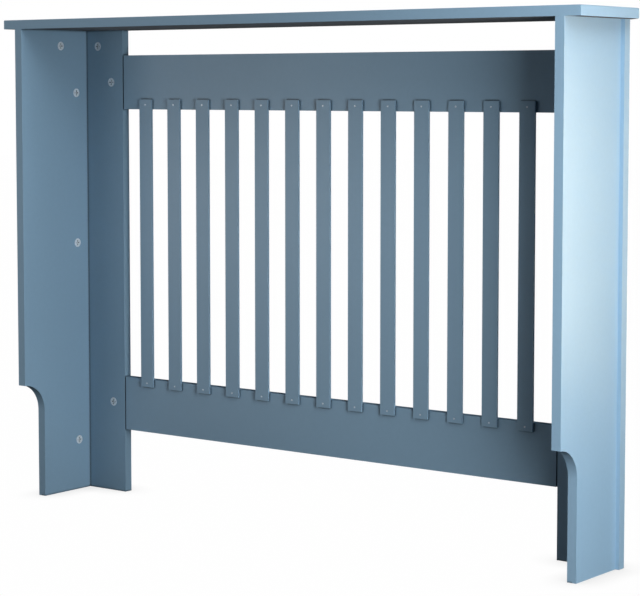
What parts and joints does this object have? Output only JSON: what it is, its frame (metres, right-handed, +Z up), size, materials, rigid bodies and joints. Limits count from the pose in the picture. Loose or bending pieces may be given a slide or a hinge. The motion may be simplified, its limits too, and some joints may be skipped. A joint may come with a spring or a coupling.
{
  "type": "radiator cover",
  "caption": "Free-standing slatted cover that stands around a wall radiator, with a shelf on top and notched feet that clear the skirting board.",
  "frame": {"origin": "on the floor, under the middle of the bounding box", "axes": "+Z up; X along the width; the room side faces -Y and the open wall side faces +Y"},
  "size_m": [1.12, 0.19, 0.815],
  "materials": {
    "painted_mdf": "satin paint on MDF",
    "cam_zinc": "dull zinc casting",
    "bolt_steel": "zinc plated",
    "pin_steel": "plain steel",
    "beech": "bare fluted beech"
  },
  "bodies": {
    "cabinet": {"top_shelf": "painted_mdf", "left_side_panel": "painted_mdf", "right_side_panel": "painted_mdf", "left_stile": "painted_mdf", "right_stile": "painted_mdf", "top_rail": "painted_mdf", "bottom_rail": "painted_mdf", "slat_01": "painted_mdf", "slat_02": "painted_mdf", "slat_03": "painted_mdf", "slat_04": "painted_mdf", "slat_05": "painted_mdf", "slat_06": "painted_mdf", "slat_07": "painted_mdf", "slat_08": "painted_mdf", "slat_09": "painted_mdf", "slat_10": "painted_mdf", "slat_11": "painted_mdf", "slat_12": "painted_mdf", "slat_13": "painted_mdf", "cam_bolts_left": "bolt_steel", "cam_bolts_right": "bolt_steel", "dowels_left": "beech", "dowels_right": "beech", "slat_pins_top": "pin_steel", "slat_pins_bottom": "pin_steel"},
    "cam_left_side_shelf": {"cam_left_side_shelf": "cam_zinc"},
    "cam_left_side_upper": {"cam_left_side_upper": "cam_zinc"},
    "cam_left_side_middle": {"cam_left_side_middle": "cam_zinc"},
    "cam_left_side_lower": {"cam_left_side_lower": "cam_zinc"},
    "cam_left_stile_shelf": {"cam_left_stile_shelf": "cam_zinc"},
    "cam_left_stile_top_rail": {"cam_left_stile_top_rail": "cam_zinc"},
    "cam_left_stile_bottom_rail": {"cam_left_stile_bottom_rail": "cam_zinc"},
    "cam_right_side_shelf": {"cam_right_side_shelf": "cam_zinc"},
    "cam_right_side_upper": {"cam_right_side_upper": "cam_zinc"},
    "cam_right_side_middle": {"cam_right_side_middle": "cam_zinc"},
    "cam_right_side_lower": {"cam_right_side_lower": "cam_zinc"},
    "cam_right_stile_shelf": {"cam_right_stile_shelf": "cam_zinc"},
    "cam_right_stile_top_rail": {"cam_right_stile_top_rail": "cam_zinc"},
    "cam_right_stile_bottom_rail": {"cam_right_stile_bottom_rail": "cam_zinc"}
  },
  "joints": [
    {"name": "turn_cam_left_side_shelf", "type": "hinge", "parent": "cabinet", "child": "cam_left_side_shelf", "pos_m": [-0.519, 0.001, 0.773], "axis": [1, 0, 0], "range_deg": [0, 180]},
    {"name": "turn_cam_left_side_upper", "type": "hinge", "parent": "cabinet", "child": "cam_left_side_upper", "pos_m": [-0.519, -0.036, 0.693], "axis": [1, 0, 0], "range_deg": [0, 180]},
    {"name": "turn_cam_left_side_middle", "type": "hinge", "parent": "cabinet", "child": "cam_left_side_middle", "pos_m": [-0.519, -0.036, 0.433], "axis": [1, 0, 0], "range_deg": [0, 180]},
    {"name": "turn_cam_left_side_lower", "type": "hinge", "parent": "cabinet", "child": "cam_left_side_lower", "pos_m": [-0.519, -0.036, 0.087], "axis": [1, 0, 0], "range_deg": [0, 180]},
    {"name": "turn_cam_left_stile_shelf", "type": "hinge", "parent": "cabinet", "child": "cam_left_stile_shelf", "pos_m": [-0.493, -0.063, 0.773], "axis": [0, 1, 0], "range_deg": [0, 180]},
    {"name": "turn_cam_left_stile_top_rail", "type": "hinge", "parent": "cabinet", "child": "cam_left_stile_top_rail", "pos_m": [-0.462, -0.063, 0.711], "axis": [0, 1, 0], "range_deg": [0, 180]},
    {"name": "turn_cam_left_stile_bottom_rail", "type": "hinge", "parent": "cabinet", "child": "cam_left_stile_bottom_rail", "pos_m": [-0.462, -0.063, 0.156], "axis": [0, 1, 0], "range_deg": [0, 180]},
    {"name": "turn_cam_right_side_shelf", "type": "hinge", "parent": "cabinet", "child": "cam_right_side_shelf", "pos_m": [0.519, 0.001, 0.773], "axis": [-1, 0, 0], "range_deg": [0, 180]},
    {"name": "turn_cam_right_side_upper", "type": "hinge", "parent": "cabinet", "child": "cam_right_side_upper", "pos_m": [0.519, -0.036, 0.693], "axis": [-1, 0, 0], "range_deg": [0, 180]},
    {"name": "turn_cam_right_side_middle", "type": "hinge", "parent": "cabinet", "child": "cam_right_side_middle", "pos_m": [0.519, -0.036, 0.433], "axis": [-1, 0, 0], "range_deg": [0, 180]},
    {"name": "turn_cam_right_side_lower", "type": "hinge", "parent": "cabinet", "child": "cam_right_side_lower", "pos_m": [0.519, -0.036, 0.087], "axis": [-1, 0, 0], "range_deg": [0, 180]},
    {"name": "turn_cam_right_stile_shelf", "type": "hinge", "parent": "cabinet", "child": "cam_right_stile_shelf", "pos_m": [0.493, -0.063, 0.773], "axis": [0, 1, 0], "range_deg": [0, 180]},
    {"name": "turn_cam_right_stile_top_rail", "type": "hinge", "parent": "cabinet", "child": "cam_right_stile_top_rail", "pos_m": [0.462, -0.063, 0.711], "axis": [0, 1, 0], "range_deg": [0, 180]},
    {"name": "turn_cam_right_stile_bottom_rail", "type": "hinge", "parent": "cabinet", "child": "cam_right_stile_bottom_rail", "pos_m": [0.462, -0.063, 0.156], "axis": [0, 1, 0], "range_deg": [0, 180]}
  ]
}
